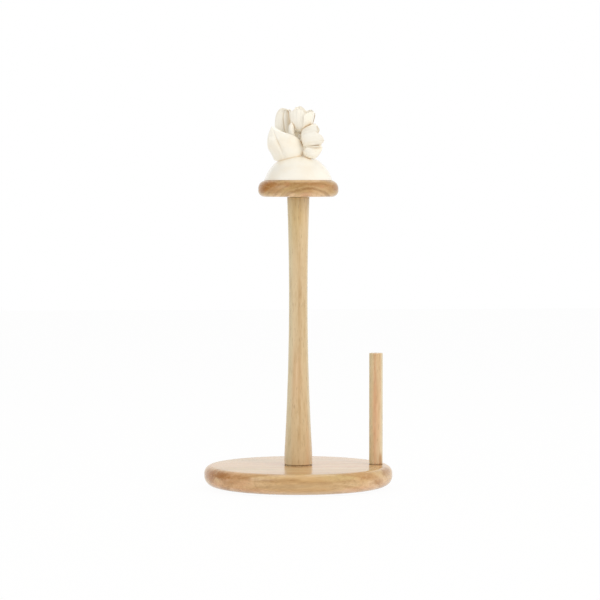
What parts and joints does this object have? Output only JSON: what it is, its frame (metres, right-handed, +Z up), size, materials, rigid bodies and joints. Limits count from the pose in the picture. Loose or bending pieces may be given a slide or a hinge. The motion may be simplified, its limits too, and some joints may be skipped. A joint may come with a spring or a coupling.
{
  "type": "paper towel holder",
  "caption": "Upright paper towel holder with a round wooden base, waisted post, guard dowel and a screw-off wooden cap under a porcelain finial of leaves and blossoms.",
  "frame": {"origin": "centre of the footprint, on the table, below the post's axis", "axes": "+Z up along the post, +X from the post towards the guard dowel, -Y towards the finial's front"},
  "size_m": [0.2, 0.2, 0.4048],
  "materials": {
    "base_wood": "satin lacquer",
    "post_wood": "satin lacquer",
    "guard_wood": "satin lacquer",
    "cap_wood": "satin lacquer",
    "porcelain": "soft ivory glaze",
    "steel": "zinc plated",
    "brass": "machined",
    "rubber": "matte",
    "nylon": "matte",
    "resin": "cast, matte"
  },
  "bodies": {
    "stand": {"base_disc": "base_wood", "centre_post": "post_wood", "guard_dowel": "guard_wood", "post_foot_insert": "brass", "post_bolt": "steel", "post_bolt_washer": "steel", "guard_screw": "steel", "foot_front_right": "rubber", "foot_back_right": "rubber", "foot_back_left": "rubber", "foot_front_left": "rubber", "post_head_insert": "brass"},
    "washer": {"wear_washer": "nylon"},
    "cap": {"cap_disc": "cap_wood", "cap_rod": "steel", "cap_washer": "steel", "cap_nut": "steel", "finial_dome": "porcelain", "finial_plug": "resin", "front_leaf": "porcelain", "tall_leaf": "porcelain", "right_leaf": "porcelain", "back_leaf": "porcelain", "upper_blossom": "porcelain", "side_blossom": "porcelain", "back_blossom": "porcelain", "flower_bud": "porcelain", "upper_stem": "porcelain", "side_stem": "porcelain", "back_stem": "porcelain"}
  },
  "joints": [
    {"name": "cap_turn", "type": "hinge", "parent": "stand", "child": "washer", "pos_m": [0, 0, 0.3077], "axis": [0, 0, 1], "range_deg": [0, 3600]},
    {"name": "cap_lift", "type": "slide", "parent": "washer", "child": "cap", "axis": [0, 0, 1], "range_m": [0, 0.0126]}
  ],
  "couplings": [
    {"joint": "cap_lift", "follows": "cap_turn", "m_per_rad": 0.00019894}
  ]
}
